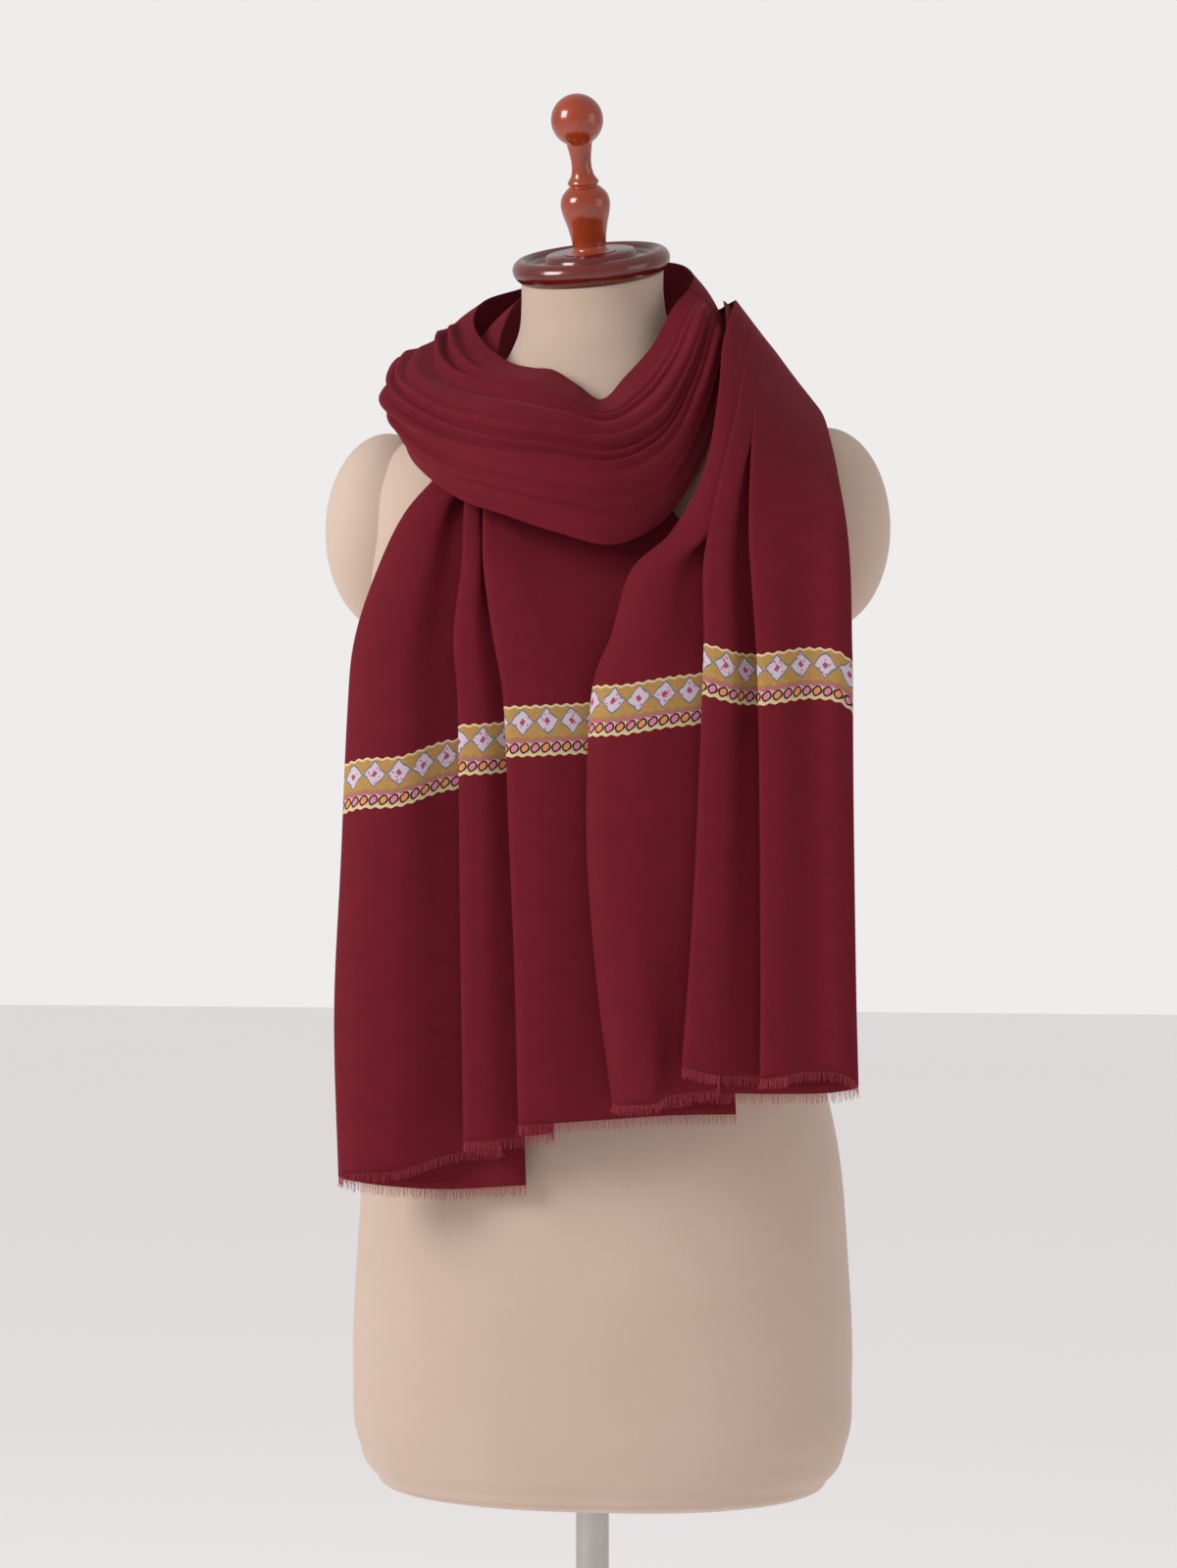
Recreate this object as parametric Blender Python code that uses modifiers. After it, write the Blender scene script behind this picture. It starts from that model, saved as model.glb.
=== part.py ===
"""A pashmina shawl wound once and a half round the neck of a limbless dress form on its stand.

Metres, +Z up. The form faces -Y, the origin is the centre of the base's underside, and +X is on
the right of someone who faces the form. Each stretch of the shawl that shows is a thin wall
through sections worked out from the tables below.
"""
import math
from collections import namedtuple

import bpy
import numpy as np

GAP = 0.0003                 # clearance between pieces that touch
CLOTH = 0.0013               # wall of the shawl
FRINGE_REACH = 0.009
FRINGE_GAP = 0.0008           # the hem's wall leans a little, so its clearance is wider
GATHER_PUFF = 0.014           # how far the cloth puffs out where it is drawn in to the neck
BASE_RADIUS = 0.150
BASE_HEIGHT = 0.010
POLE_RADIUS = 0.0125
FORM_FOOT = 0.560            # height of the torso's underside
CAP_CENTRE = (0.0, 0.0, 1.476)
CAP_PITCH = math.radians(17.0)   # the cap leans forward
CAP_ROLL = math.radians(-3.5)    # and a little to the left
CAP_ROLL_SHARE = 0.2           # rise to the right, as a share of the rise to the back
STUMP = dict(side=0.166, height=1.284, reach=0.048, depth=0.052, rise=0.075)


def table(columns, rows):
    """Rows of numbers with a name for each column."""
    row = namedtuple("Row", columns)
    return [row(*values) for values in rows]


# One row for each level of the torso. shift is how far the level lies to the right of the pole,
# tilt how steeply it rises to the back, and square the exponent of its rounded outline.
TORSO = table("level half front back shift tilt square", (
    (0.5600, 0.132, 0.082, 0.088, 0.007, 0.00, 2.5),
    (0.5635, 0.152, 0.095, 0.100, 0.007, 0.00, 2.4),
    (0.5760, 0.172, 0.105, 0.110, 0.007, 0.00, 2.3),
    (0.6000, 0.184, 0.110, 0.116, 0.007, 0.00, 2.3),
    (0.6500, 0.188, 0.112, 0.120, 0.007, 0.00, 2.3),
    (0.7400, 0.185, 0.111, 0.118, 0.007, 0.00, 2.3),
    (0.8200, 0.178, 0.106, 0.110, 0.007, 0.00, 2.3),
    (0.9000, 0.160, 0.098, 0.098, 0.007, 0.00, 2.3),
    (0.9800, 0.140, 0.090, 0.090, 0.008, 0.00, 2.3),
    (1.0600, 0.146, 0.097, 0.093, 0.009, 0.00, 2.3),
    (1.1400, 0.162, 0.111, 0.100, 0.010, 0.00, 2.3),
    (1.2100, 0.176, 0.110, 0.104, 0.010, 0.00, 2.3),
    (1.2700, 0.184, 0.100, 0.104, 0.010, 0.00, 2.3),
    (1.3200, 0.178, 0.090, 0.098, 0.010, 0.00, 2.3),
    (1.3450, 0.160, 0.082, 0.090, 0.009, 0.00, 2.2),
    (1.3640, 0.128, 0.074, 0.082, 0.007, 0.00, 2.1),
    (1.3850, 0.096, 0.066, 0.074, 0.004, 0.05, 2.0),
    (1.4100, 0.071, 0.059, 0.064, 0.002, 0.12, 2.0),
    (1.4350, 0.057, 0.056, 0.058, 0.001, 0.20, 2.0),
    (1.4580, 0.0535, 0.053, 0.054, 0.000, 0.290, 2.0),
    (1.4756, 0.0535, 0.053, 0.054, 0.000, 0.3063, 2.0),
))

# The long end hangs on the left. One row for each level: where its three fold edges and its far
# edge lie across the front, and lie, how far it stands in front of the pole's axis.
LONG_LEVELS = table("level left second third right lie pleat", (
    (0.845, -0.167, -0.074, -0.034, 0.122, 0.142, 1.00),
    (0.950, -0.170, -0.076, -0.037, 0.118, 0.142, 1.00),
    (1.050, -0.166, -0.077, -0.041, 0.112, 0.142, 1.00),
    (1.150, -0.161, -0.078, -0.045, 0.105, 0.142, 0.95),
    (1.200, -0.155, -0.081, -0.053, 0.098, 0.142, 0.85),
    (1.250, -0.139, -0.077, -0.061, 0.088, 0.133, 0.70),
    (1.290, -0.122, -0.078, -0.064, 0.074, 0.117, 0.50),
    (1.320, -0.098, -0.078, -0.064, 0.020, 0.106, 0.35),
))

# How the long end runs across, from its hidden edge at the back round the left fold to its right
# edge: each row lies a distance across from a fold edge, stands forward of the lie (or behind it,
# below zero), and hangs to its own hem.
LONG_RUN = table("edge across forward hem spans", (
    ("left", 0.135, -0.0230, 0.803, 1),
    ("left", 0.070, -0.0240, 0.799, 1),
    ("left", 0.015, -0.0230, 0.803, 1),
    ("left", 0.000, -0.0120, 0.808, 1),
    ("left", 0.014, 0.0020, 0.813, 1),
    ("left", 0.045, 0.0040, 0.815, 1),
    ("second", -0.012, -0.0110, 0.826, 1),
    ("second", 0.022, -0.0150, 0.830, 1),
    ("second", 0.026, -0.0090, 0.832, 1),
    ("second", 0.004, -0.0020, 0.835, 1),
    ("second", 0.002, 0.0050, 0.837, 1),
    ("second", 0.018, 0.0060, 0.838, 1),
    ("third", 0.002, -0.0030, 0.840, 1),
    ("third", 0.024, -0.0060, 0.843, 1),
    ("third", 0.024, 0.0000, 0.845, 1),
    ("third", 0.004, 0.0050, 0.848, 1),
    ("third", 0.003, 0.0120, 0.850, 1),
    ("third", 0.022, 0.0130, 0.851, 1),
    ("third", 0.060, 0.0030, 0.853, 1),
    ("right", -0.045, -0.0100, 0.856, 1),
    ("right", 0.000, -0.0130, 0.857, 0),
))

# The short end comes over the right shoulder and falls in front. The upper rows slant with the
# shoulder, so each has a height and a lie for its left side and for its right side.
SHORT_LEVELS = table("level_left level_right lie_left lie_right first second third right pleat", (
    (0.885, 0.885, 0.162, 0.158, 0.037, 0.085, 0.140, 0.210, 1.00),
    (0.970, 0.970, 0.162, 0.158, 0.025, 0.091, 0.141, 0.208, 1.00),
    (1.060, 1.060, 0.162, 0.158, 0.018, 0.096, 0.141, 0.207, 1.00),
    (1.160, 1.160, 0.162, 0.157, 0.022, 0.100, 0.139, 0.206, 1.00),
    (1.200, 1.198, 0.162, 0.155, 0.036, 0.101, 0.137, 0.205, 0.95),
    (1.245, 1.236, 0.160, 0.152, 0.050, 0.100, 0.134, 0.204, 0.85),
    (1.272, 1.262, 0.156, 0.143, 0.078, 0.103, 0.132, 0.202, 0.75),
    (1.315, 1.288, 0.142, 0.124, 0.099, 0.110, 0.131, 0.198, 0.60),
    (1.370, 1.315, 0.109, 0.090, 0.106, 0.118, 0.130, 0.191, 0.50),
    (1.415, 1.343, 0.066, 0.047, 0.106, 0.119, 0.129, 0.183, 0.45),
    (1.446, 1.368, 0.022, 0.004, 0.108, 0.119, 0.130, 0.173, 0.40),
    (1.458, 1.386, -0.018, -0.032, 0.106, 0.115, 0.126, 0.160, 0.30),
))
SHORT_RUN = table("edge across forward hem spans", (
    ("first", 0.055, -0.0150, 0.871, 1),
    ("first", 0.016, -0.0140, 0.868, 1),
    ("first", 0.000, -0.0060, 0.866, 1),
    ("first", 0.010, 0.0040, 0.866, 1),
    ("first", 0.032, 0.0050, 0.868, 1),
    ("second", -0.008, -0.0040, 0.873, 1),
    ("second", 0.026, -0.0090, 0.879, 1),
    ("second", 0.026, -0.0030, 0.886, 1),
    ("second", 0.003, 0.0030, 0.892, 1),
    ("second", 0.003, 0.0090, 0.894, 1),
    ("second", 0.022, 0.0090, 0.889, 1),
    ("third", -0.007, -0.0010, 0.887, 1),
    ("third", 0.019, -0.0060, 0.887, 1),
    ("third", 0.019, 0.0000, 0.886, 1),
    ("third", 0.003, 0.0050, 0.885, 1),
    ("third", 0.003, 0.0110, 0.886, 1),
    ("third", 0.018, 0.0110, 0.888, 1),
    ("right", -0.030, 0.0010, 0.891, 1),
    ("right", -0.008, 0.0000, 0.888, 1),
    ("right", 0.000, -0.0060, 0.880, 1),
    ("right", -0.014, -0.0150, 0.875, 1),
    ("right", -0.060, -0.0160, 0.873, 1),
    ("right", -0.116, -0.0150, 0.874, 0),
))

# The windings. turn is the angle round the neck in degrees: 0 at the left, 90 behind, 180 at the
# right, 270 in front, and on round to the right shoulder. Each row gives the radius and height of
# the winding's upper edge, of its widest line and of its lower edge.
WINDING = table("turn top_r top_z belly_r belly_z low_r low_z", (
    (-38, 0.078, 1.394, 0.104, 1.376, 0.124, 1.354),
    (0, 0.067, 1.440, 0.092, 1.420, 0.108, 1.390),
    (45, 0.071, 1.474, 0.092, 1.450, 0.104, 1.422),
    (90, 0.076, 1.494, 0.094, 1.460, 0.104, 1.424),
    (135, 0.079, 1.492, 0.094, 1.456, 0.102, 1.416),
    (170, 0.076, 1.474, 0.096, 1.446, 0.102, 1.404),
    (188, 0.074, 1.463, 0.099, 1.436, 0.104, 1.395),
    (208, 0.072, 1.445, 0.108, 1.416, 0.116, 1.378),
    (226, 0.074, 1.416, 0.126, 1.376, 0.134, 1.326),
    (244, 0.077, 1.392, 0.152, 1.330, 0.150, 1.278),
    (258, 0.081, 1.374, 0.166, 1.316, 0.160, 1.263),
    (270, 0.079, 1.385, 0.170, 1.322, 0.162, 1.271),
    (285, 0.073, 1.397, 0.170, 1.330, 0.160, 1.285),
    (300, 0.073, 1.400, 0.164, 1.342, 0.158, 1.299),
    (315, 0.075, 1.405, 0.162, 1.360, 0.159, 1.324),
    (330, 0.080, 1.416, 0.154, 1.378, 0.149, 1.349),
    (345, 0.086, 1.430, 0.141, 1.398, 0.135, 1.370),
    (360, 0.091, 1.443, 0.131, 1.414, 0.127, 1.390),
    (380, 0.096, 1.461, 0.127, 1.434, 0.122, 1.408),
    (410, 0.100, 1.478, 0.128, 1.448, 0.124, 1.416),
    (450, 0.101, 1.502, 0.131, 1.458, 0.128, 1.418),
    (472, 0.100, 1.503, 0.130, 1.458, 0.128, 1.416),
    (486, 0.100, 1.480, 0.130, 1.444, 0.130, 1.408),
    (500, 0.100, 1.455, 0.131, 1.430, 0.134, 1.398),
))
WINDING_START, LOOP_START, LOOP_END, WINDING_END = -38.0, 188.0, 368.0, 500.0

# The deepest creases of the front loop. Each runs from the right (turn 200) by way of the front
# (turn 268) to the left (turn 345); place is 0 at the upper edge and 1 at the lower edge.
CREASES = table("right front left depth_right depth_front depth_left width", (
    (0.36, 0.46, 0.50, 0.007, 0.011, 0.006, 0.075),
    (0.66, 0.74, 0.68, 0.006, 0.008, 0.006, 0.070),
    (0.84, 0.90, 0.86, 0.004, 0.005, 0.004, 0.060),
))
CREASE_TURNS = (200.0, 268.0, 345.0)

# Outlines of the turned wood, as radius and height above the cap's underside.
CAP_PROFILE = (
    (0.0330, 0.0180), (0.0345, 0.0160), (0.0360, 0.0135), (0.0470, 0.0130), (0.0500, 0.0155),
    (0.0535, 0.0170), (0.0572, 0.0150), (0.0593, 0.0115), (0.0595, 0.0080), (0.0580, 0.0040),
    (0.0550, 0.0010), (0.0525, 0.0000))
FINIAL_PROFILE = (
    (0.0096, 0.0995), (0.0082, 0.0920), (0.0074, 0.0840), (0.0086, 0.0760), (0.0118, 0.0700),
    (0.0104, 0.0682), (0.0128, 0.0660), (0.0170, 0.0610), (0.0186, 0.0550), (0.0178, 0.0480),
    (0.0150, 0.0380), (0.0130, 0.0270), (0.0128, 0.0210), (0.0150, 0.0190), (0.0200, 0.0186))
BALL_RADIUS = 0.0195
BALL_CENTRE = 0.1168

COLOURS = dict(form=(0.66, 0.51, 0.42), wood=(0.36, 0.06, 0.02), disc=(0.22, 0.03, 0.015),
               steel=(0.62, 0.60, 0.58), shawl=(0.26, 0.012, 0.03), fringe=(0.33, 0.012, 0.03))
SECTION_SIDES = 32
TURNED_STEPS = 24


# ---------------------------------------------------------------- curves through tables

def smooth(places, values, at):
    """Cubic curve through the rows of a table, read at one place or at many."""
    places = np.asarray(places, float)
    values = np.asarray(values, float)
    slopes = np.gradient(values, places)
    at = np.clip(np.asarray(at, float), places.min(), places.max())
    spot = np.clip(np.searchsorted(places, at, side="right") - 1, 0, len(places) - 2)
    width = places[spot + 1] - places[spot]
    t = (at - places[spot]) / width
    return ((1 + 2 * t) * (1 - t) ** 2 * values[spot] + t * (1 - t) ** 2 * width * slopes[spot]
            + t * t * (3 - 2 * t) * values[spot + 1] + t * t * (t - 1) * width * slopes[spot + 1])


def column(rows, name):
    return [getattr(row, name) for row in rows]


def through(points, spans, finer=1):
    """A smooth curve through points, with a set number of steps in each span."""
    points = np.asarray(points, float)
    knots = np.concatenate(([0.0], np.cumsum(
        np.maximum(np.linalg.norm(np.diff(points[:, :2], axis=0), axis=1), 0.002) ** 0.6)))
    places = [knots[i] + (knots[i + 1] - knots[i]) * k / (n * finer)
              for i, n in enumerate(spans[:-1]) for k in range(n * finer)]
    places.append(knots[-1])
    return np.column_stack([smooth(knots, points[:, axis], places) for axis in range(points.shape[1])])


# ---------------------------------------------------------------- making objects

def clear_scene():
    for old in list(bpy.data.objects):
        bpy.data.objects.remove(old, do_unlink=True)


def new_collection(name):
    made = bpy.data.collections.new(name)
    bpy.context.scene.collection.children.link(made)
    return made


def material(name, colour, roughness, metallic=0.0):
    made = bpy.data.materials.new(name)
    made.use_nodes = True
    shader = made.node_tree.nodes["Principled BSDF"]
    shader.inputs["Base Color"].default_value = (*colour, 1.0)
    shader.inputs["Roughness"].default_value = roughness
    shader.inputs["Metallic"].default_value = metallic
    return made


def add_object(name, mesh, look, group):
    made = bpy.data.objects.new(name, mesh)
    group.objects.link(made)
    mesh.materials.append(look)
    mesh.shade_smooth()
    return made


def grid_mesh(name, rows, closed=False, capped=False):
    """A mesh through rows of points. closed joins each row's ends; capped fills both end rows."""
    rows = np.asarray(rows)
    count, width = rows.shape[:2]
    faces = [(i * width + j, i * width + (j + 1) % width,
              (i + 1) * width + (j + 1) % width, (i + 1) * width + j)
             for i in range(count - 1) for j in range(width if closed else width - 1)]
    if capped:
        faces.append(tuple(range(width - 1, -1, -1)))
        faces.append(tuple((count - 1) * width + j for j in range(width)))
    mesh = bpy.data.meshes.new(name)
    mesh.from_pydata([tuple(p) for p in rows.reshape(-1, 3)], [], faces)
    mesh.update()
    return mesh


def solidify(piece, thickness):
    wall = piece.modifiers.new("wall", "SOLIDIFY")
    wall.thickness = thickness
    wall.offset = 0.0
    wall.use_even_offset = False


def turned(name, profile, look, group):
    """A turned piece: its profile runs down the outer side and a screw sweeps it round."""
    mesh = bpy.data.meshes.new(name)
    mesh.from_pydata([(r, 0.0, z) for r, z in profile], [(i, i + 1) for i in range(len(profile) - 1)], [])
    piece = add_object(name, mesh, look, group)
    sweep = piece.modifiers.new("turning", "SCREW")
    sweep.steps = sweep.render_steps = TURNED_STEPS
    sweep.use_merge_vertices = True
    sweep.merge_threshold = 0.00005
    return piece


# ---------------------------------------------------------------- form and stand

def torso_row(level):
    levels = column(TORSO, "level")
    half, front, back, shift, tilt, square = (
        float(smooth(levels, column(TORSO, name), level))
        for name in ("half", "front", "back", "shift", "tilt", "square"))
    angles = np.arange(SECTION_SIDES) * 2 * math.pi / SECTION_SIDES
    across = np.sign(np.cos(angles)) * np.abs(np.cos(angles)) ** (2 / square)
    along = np.sign(np.sin(angles)) * np.abs(np.sin(angles)) ** (2 / square)
    y = np.where(along < 0, along * front, along * back)
    x = shift + half * across
    return np.column_stack((x, y, level + tilt * (y + CAP_ROLL_SHARE * x)))


def build_form(group, cutters, look):
    levels = [row.level for row in TORSO]
    rows = [torso_row(level) for level in levels]
    body = add_object("form_body", grid_mesh("form_body", rows, closed=True, capped=True), look, group)
    for side in (-1, 1):
        bpy.ops.mesh.primitive_uv_sphere_add(segments=20, ring_count=12, radius=1.0, location=(
            TORSO[12].shift + side * STUMP["side"], 0.0, STUMP["height"]))
        stump = bpy.context.object
        stump.name = "stump_" + ("left" if side < 0 else "right")
        stump.scale = (STUMP["reach"], STUMP["depth"], STUMP["rise"])
        bpy.ops.object.transform_apply(location=False, rotation=False, scale=True)
        for old in list(stump.users_collection):
            old.objects.unlink(stump)
        cutters.objects.link(stump)
        stump.hide_render = True
        stump.display_type = "WIRE"
        join = body.modifiers.new(stump.name, "BOOLEAN")
        join.operation = "UNION"
        join.object = stump


def build_cap(group, wood, disc):
    """The turned disc on the neck and the finial on it, both leaning with the neck."""
    lean = dict(location=CAP_CENTRE, rotation_euler=(CAP_PITCH, CAP_ROLL, 0.0))
    underside = ((0.0, 0.0),)
    cap = turned("neck_cap", ((0.0, 0.0180),) + CAP_PROFILE + underside, disc, group)
    ball = [(BALL_RADIUS * math.sin(a), BALL_CENTRE + BALL_RADIUS * math.cos(a))
            for a in np.radians(np.arange(0, 149, 15))]
    seat = 0.0180 + GAP
    foot = tuple((r, z) for r, z in FINIAL_PROFILE) + ((0.0200, seat), (0.0, seat))
    finial = turned("finial", tuple(ball) + foot, wood, group)
    for piece in (cap, finial):
        piece.location = lean["location"]
        piece.rotation_euler = lean["rotation_euler"]


def build_stand(group, steel):
    for name, radius, low, high in (("base_plate", BASE_RADIUS, 0.0, BASE_HEIGHT),
                                    ("pole", POLE_RADIUS, BASE_HEIGHT + GAP, FORM_FOOT - GAP)):
        bpy.ops.mesh.primitive_cylinder_add(vertices=48 if name == "base_plate" else 24, radius=radius,
                                            depth=high - low, location=(0, 0, (low + high) / 2))
        piece = bpy.context.object
        piece.name = name
        for old in list(piece.users_collection):
            old.objects.unlink(piece)
        group.objects.link(piece)
        piece.data.materials.append(steel)
        if name == "base_plate":
            edge = piece.modifiers.new("rounded edge", "BEVEL")
            edge.width = 0.003
            edge.segments = 2
            edge.limit_method = "ANGLE"
        piece.data.shade_smooth()
        piece.data.set_sharp_from_angle(angle=math.radians(40))


# ---------------------------------------------------------------- shawl

def winding_section(turn, steps):
    """Points across a winding, from just inside its upper edge to the tuck of its lower edge."""
    turns = column(WINDING, "turn")
    top_r, top_z, belly_r, belly_z, low_r, low_z = (
        float(smooth(turns, column(WINDING, name), turn))
        for name in ("top_r", "top_z", "belly_r", "belly_z", "low_r", "low_z"))
    outline = ((top_r, top_z), (0.45 * top_r + 0.55 * belly_r, 0.62 * top_z + 0.38 * belly_z),
               (belly_r, belly_z), (low_r, low_z))
    across = through(outline, [steps, steps, steps, 0])
    count = len(across)
    place = np.linspace(0.0, 1.0, count)
    dent = np.zeros(count)
    for crease in CREASES:
        middle = float(smooth(CREASE_TURNS, (crease.right, crease.front, crease.left), turn))
        depth = float(smooth(CREASE_TURNS, (crease.depth_right, crease.depth_front, crease.depth_left), turn))
        fade = min(max((turn - LOOP_START) / 15, 0), 1) * min(max((LOOP_END - turn) / 15, 0), 1)
        dent += depth * fade * np.exp(-((place - middle) / crease.width) ** 2)
    run = np.gradient(across, axis=0)
    run /= np.linalg.norm(run, axis=1)[:, None]
    across = across - dent[:, None] * np.column_stack((-run[:, 1], run[:, 0])) * -1
    angle = math.radians(turn)
    return np.column_stack((-math.cos(angle) * across[:, 0], math.sin(angle) * across[:, 0], across[:, 1]))


def end_section(levels, run, spot, heights, lies):
    """Points across a hanging end at one row of its level table, spot, which may be a fraction."""
    order = np.arange(len(levels))
    read = lambda name: float(smooth(order, column(levels, name), spot))
    left, right = levels[0]._fields[heights[2]], "right"
    x_left, x_right = read(left), read("right")
    hang = max(0.0, 1.0 - spot / HANG_ROWS)
    points = []
    for row in run:
        x = read(row.edge) + row.across * (0.35 + 0.65 * read("pleat"))
        share = min(max((x - x_left) / (x_right - x_left), 0.0), 1.0)
        level = (1 - share) * read(heights[0]) + share * read(heights[1])
        lie = (1 - share) * read(lies[0]) + share * read(lies[1])
        level += hang * (row.hem - read(heights[0]) if spot == 0 else hang * (row.hem - levels[0][0]))
        points.append((x, -(lie + row.forward * read("pleat")), level))
    return through(points, column(run, "spans"))


HANG_ROWS = 5.0
LONG_COLUMNS = (("level", "level", 1), ("lie", "lie"))
SHORT_COLUMNS = (("level_left", "level_right", 4), ("lie_left", "lie_right"))


def long_end_rows(steps):
    """The long end from its hem up under the loop, where it is drawn in to the winding's start."""
    rows = [end_section(LONG_LEVELS, LONG_RUN, spot, *LONG_COLUMNS)
            for spot in np.linspace(0, len(LONG_LEVELS) - 1, steps)]
    last = rows[-1]
    start = gathered(WINDING_START, len(last))[::-1]
    for share in (0.25, 0.5, 0.75, 1.0):
        row = (1 - share) * last + share * start
        out = row[:, :2] / np.linalg.norm(row[:, :2], axis=1)[:, None]
        row[:, :2] += out * GATHER_PUFF * math.sin(math.pi * share)
        rows.append(row)
    return rows


def short_end_rows(steps):
    """The short end from its hem up over the shoulder to the winding's end."""
    rows = [end_section(SHORT_LEVELS, SHORT_RUN, spot, *SHORT_COLUMNS)
            for spot in np.linspace(0, len(SHORT_LEVELS) - 1, steps)]
    last = rows[-1]
    start = gathered(WINDING_END, len(last))
    for share in (0.34, 0.67, 1.0):
        rows.append((1 - share) * last + share * start)
    return rows


def gathered(turn, count):
    """A winding's section read at a set number of even steps."""
    points = winding_section(turn, 12)
    places = np.linspace(0, len(points) - 1, count)
    return np.column_stack([np.interp(places, np.arange(len(points)), points[:, axis]) for axis in range(3)])


def build_shawl(group, look, fringe):
    windings = (("shawl_neck_inner", WINDING_START + 0.35, LOOP_START - 0.25, 15, 2),
                ("shawl_loop_front", LOOP_START, LOOP_END, 22, 4),
                ("shawl_neck_outer", LOOP_END + 0.3, WINDING_END - 0.35, 13, 2))
    for name, start, end, steps, across in windings:
        rows = [winding_section(turn, across) for turn in np.linspace(start, end, steps)]
        piece = add_object(name, grid_mesh(name, rows), look, group)
        solidify(piece, CLOTH)
    for name, rows in (("long", long_end_rows(10)), ("short", short_end_rows(13))):
        piece = add_object("shawl_end_" + name, grid_mesh(name, rows), look, group)
        solidify(piece, CLOTH)
        hem = rows[0]
        drop = np.array((0.0, 0.0, 1.0))
        reach = [hem - drop * (FRINGE_GAP + FRINGE_REACH), hem - drop * FRINGE_GAP]
        piece = add_object("fringe_" + name, grid_mesh("fringe_" + name, reach), fringe, group)
        solidify(piece, CLOTH)


def main():
    clear_scene()
    model = new_collection("pashmina_shawl_on_dress_form")
    cutters = new_collection("cutters")
    looks = {name: material(name, colour, 0.3 if name in ("wood", "disc", "steel") else 0.9,
                            1.0 if name == "steel" else 0.0) for name, colour in COLOURS.items()}
    build_form(model, cutters, looks["form"])
    build_cap(model, looks["wood"], looks["disc"])
    build_stand(model, looks["steel"])
    build_shawl(model, looks["shawl"], looks["fringe"])


main()
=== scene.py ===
"""The looks of a pashmina shawl wound round a limbless dress form on its stand.

The tables repeat the frame's own sizes, and every surface is made again from them, finer.
"""
import math
from collections import namedtuple

import bpy
import numpy as np
from mathutils import Euler, Matrix, Vector, noise


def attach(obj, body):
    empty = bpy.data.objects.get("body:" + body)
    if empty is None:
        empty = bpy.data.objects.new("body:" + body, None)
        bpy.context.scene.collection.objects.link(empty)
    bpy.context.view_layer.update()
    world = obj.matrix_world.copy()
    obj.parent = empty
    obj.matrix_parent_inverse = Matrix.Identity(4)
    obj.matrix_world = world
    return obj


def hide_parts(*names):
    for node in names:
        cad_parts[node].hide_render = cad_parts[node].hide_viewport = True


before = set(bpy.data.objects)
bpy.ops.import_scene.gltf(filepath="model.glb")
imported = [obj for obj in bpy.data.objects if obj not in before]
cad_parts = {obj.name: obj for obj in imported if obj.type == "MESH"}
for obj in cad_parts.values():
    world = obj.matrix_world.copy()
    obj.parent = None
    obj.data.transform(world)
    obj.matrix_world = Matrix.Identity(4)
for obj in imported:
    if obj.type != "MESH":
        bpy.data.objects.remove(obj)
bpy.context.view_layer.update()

FINER = 7                    # steps in each span of a hanging end's run
SECTION_SIDES = 128
noise.seed_set(7)            # the noise starts from the clock unless it is seeded
CLOTH_WALL = 0.0010
TURNING_STEPS = 72
POLE_EDGE_ANGLE = math.radians(30)
GAP = 0.0003                 # clearance between pieces that touch
FRINGE_REACH = 0.009
GATHER_PUFF = 0.014           # how far the cloth puffs out where it is drawn in to the neck
BASE_RADIUS = 0.150
BASE_HEIGHT = 0.010
POLE_RADIUS = 0.0125
FORM_FOOT = 0.560            # height of the torso's underside
CAP_CENTRE = (0.0, 0.0, 1.476)
CAP_PITCH = math.radians(17.0)   # the cap leans forward
CAP_ROLL = math.radians(-3.5)    # and a little to the left
CAP_ROLL_SHARE = 0.2           # rise to the right, as a share of the rise to the back
STUMP = dict(side=0.166, height=1.284, reach=0.048, depth=0.052, rise=0.075)


def table(columns, rows):
    """Rows of numbers with a name for each column."""
    row = namedtuple("Row", columns)
    return [row(*values) for values in rows]


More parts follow.
